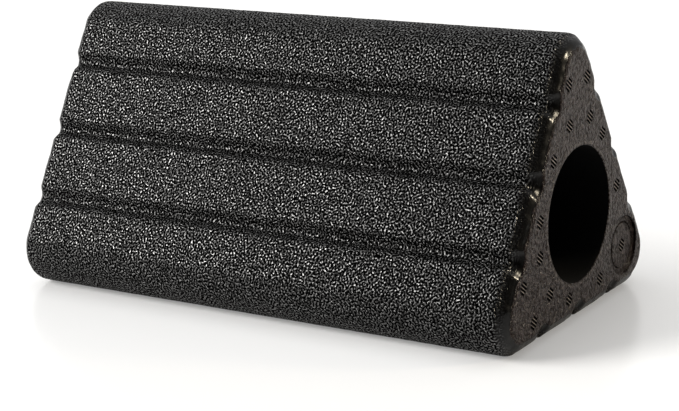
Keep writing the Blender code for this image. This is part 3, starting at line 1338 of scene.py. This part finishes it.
@dataclass
class Studio:
    """The pale floor, the soft lamps and the camera of the photograph."""

    centre: Vector

    # The camera, fitted to the roller's outline: the angles that it looks from, and its lens
    camera_place: tuple[float, float, float] = (0.555, -0.841, 0.317)
    yaw: float = math.radians(33.03)
    pitch: float = math.radians(15.24)
    roll: float = math.radians(-2.29)
    focal_px: float = 1939.2
    image_px: float = 679.0
    sensor_mm: float = 36.0
    sees_from: float = 0.01
    sees_to: float = 100.0

    # The floor board, and how much it lifts towards white in view
    floor_half: float = 12.0
    floor_colour: str = "f6f6f6"
    floor_lift: float = 0.225
    floor_roughness: float = 0.22

    # The room's dim and bright sides, and the lamps
    room_sides: tuple[float, float] = (0.04, 0.88)
    bright_way: tuple[float, float, float] = (-0.48, 0.45, 0.75)
    bright_span: tuple[float, float] = (-0.1, 0.9)
    lamp_distance: float = 1.6
    key_way: tuple[float, float, float] = (-0.70, -0.54, 0.44)
    key_angle: float = math.radians(32)
    key_strength: float = 3.35
    key_colour: str = "fffdf9"
    window_way: tuple[float, float, float] = (0.878, 0.400, 0.30)
    window_size: tuple[float, float] = (0.19, 0.165)
    window_watts: float = 4.6
    pane_watts: float = 22.0
    window_colour: str = "fff0d4"

    def add_camera(self) -> None:
        """Makes the camera and gives it to the scene."""
        data = bpy.data.cameras.new("camera")
        data.sensor_width = self.sensor_mm
        data.lens = self.focal_px * self.sensor_mm / self.image_px
        data.clip_start, data.clip_end = self.sees_from, self.sees_to
        camera = bpy.data.objects.new("camera", data)
        cos_pitch = math.cos(self.pitch)
        back = Vector((math.sin(self.yaw) * cos_pitch, -math.cos(self.yaw) * cos_pitch, math.sin(self.pitch)))
        right = (-back).cross(Vector((0, 0, 1))).normalized()
        up = right.cross(-back)
        across = right * math.cos(self.roll) + up * math.sin(self.roll)
        rise = up * math.cos(self.roll) - right * math.sin(self.roll)
        axes = Matrix((across, rise, back)).transposed().to_4x4()
        camera.matrix_world = Matrix.Translation(self.camera_place) @ axes
        bpy.context.scene.collection.objects.link(camera)
        bpy.context.scene.camera = camera

    def add_lamps(self) -> None:
        """Adds the soft key on the front left and the warm window behind on the right.

        The window is two lamps in one place. One lights everything, and the other, its pane, is
        seen only in reflections, where it gives the glossy band its bright spots.
        """
        key = bpy.data.lights.new("key_softbox", "SUN")
        key.angle = self.key_angle
        key.energy = self.key_strength
        key.color = linear(self.key_colour)[:3]
        self.hang_lamp(key, self.key_way)
        lamps = (("rear_window", self.window_watts, True), ("window_pane", self.pane_watts, False))
        for name, watts, lights_room in lamps:
            window = bpy.data.lights.new(name, "AREA")
            window.shape = "RECTANGLE"
            window.size, window.size_y = self.window_size
            window.energy = watts
            window.color = linear(self.window_colour)[:3]
            self.hang_lamp(window, self.window_way).visible_diffuse = lights_room

    def hang_lamp(self, data: bpy.types.Light, way: tuple[float, float, float]) -> bpy.types.Object:
        """Hangs a lamp that way from the roller's middle, turned to it.

        Args:
            data: The lamp's data.
            way: The way to it from the middle.

        Returns:
            The lamp's object.
        """
        lamp = bpy.data.objects.new(data.name, data)
        outward = Vector(way).normalized()
        lamp.location = self.centre + outward * self.lamp_distance
        lamp.rotation_euler = outward.to_track_quat("Z", "Y").to_euler()
        bpy.context.scene.collection.objects.link(lamp)
        return lamp

    def add_sky(self) -> None:
        """Lights everything from all round, shows white to the camera, and is seen in reflections.

        What lights and reflections see grows from the dim side of the room, front right, to the
        white paper behind and above.
        """
        world = bpy.data.worlds.new("studio")
        world.use_nodes = True
        bpy.context.scene.world = world
        add = partial(add_node, world.node_tree)
        ways = {0: add("TexCoord", output="Generated"), 1: Vector(self.bright_way).normalized()}
        toward = add("VectorMath", ways, operation="DOT_PRODUCT")
        sides = ends("From", self.bright_span) | ends("To", self.room_sides)
        seen = add("MapRange", {"Value": toward, **sides})
        to_camera = add("LightPath", output="Is Camera Ray")
        strength = add("Mix", {"Factor": to_camera, "A": seen, "B": 1.0})
        fill(world.node_tree.nodes["Background"], {"Color": linear(WHITE), "Strength": strength})

    def add_floor(self) -> None:
        """Adds the floor: a white lacquered board, which mirrors the roller faintly.

        It keeps the roller's shadow and lifts to white only in the camera's view.
        """
        half = self.floor_half
        corners = [(-half, -half, 0), (half, -half, 0), (half, half, 0), (-half, half, 0)]
        mesh = bpy.data.meshes.new("floor")
        mesh.from_pydata(corners, [], [(0, 1, 2, 3)])
        material, shader, add = new_material("white_lacquered_board")
        to_camera = add("LightPath", output="Is Camera Ray")
        fill(shader, {
            "Base Color": linear(self.floor_colour),
            "Roughness": self.floor_roughness,
            "Emission Color": linear(WHITE),
            "Emission Strength": add("Math", {0: to_camera, 1: self.floor_lift}, operation="MULTIPLY"),
        })
        mesh.materials.append(material)
        floor = bpy.data.objects.new("floor", mesh)
        bpy.context.scene.collection.objects.link(floor)

    def build(self) -> None:
        """Builds the studio."""
        self.add_camera()
        self.add_lamps()
        self.add_sky()
        self.add_floor()
        log.info("studio: camera, lamps, sky and floor")


def main() -> None:
    """Builds the roller's visible pieces and the studio."""
    low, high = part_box("foam_body")
    plug_low, plug_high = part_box("fill_plug")
    section = BarSection(height=high.z - low.z)
    port = FillingPort(
        axis=np.array([(plug_low.y + plug_high.y) / 2, (plug_low.z + plug_high.z) / 2]),
        plug_radius=(plug_high.z - plug_low.z) / 2,
        plug_length=plug_high.x - plug_low.x,
    )
    vent = VentPrint()
    finishes = [
        BeadFoamFinish().build(),
        UnlitFoamFinish("epp_foam_bore_wall_painted_shade").build(),
        UnlitFoamFinish("epp_foam_vent_slot_painted_shade").build(),
    ]
    FoamBody(section, port, vent, face_x=high.x).build(finishes)
    FillPlug(port, vent, face_x=high.x).build(finishes)
    Studio(centre=(low + high) / 2).build()
    bpy.context.scene.view_settings.view_transform = "Standard"


if __name__ == "__main__":
    main()
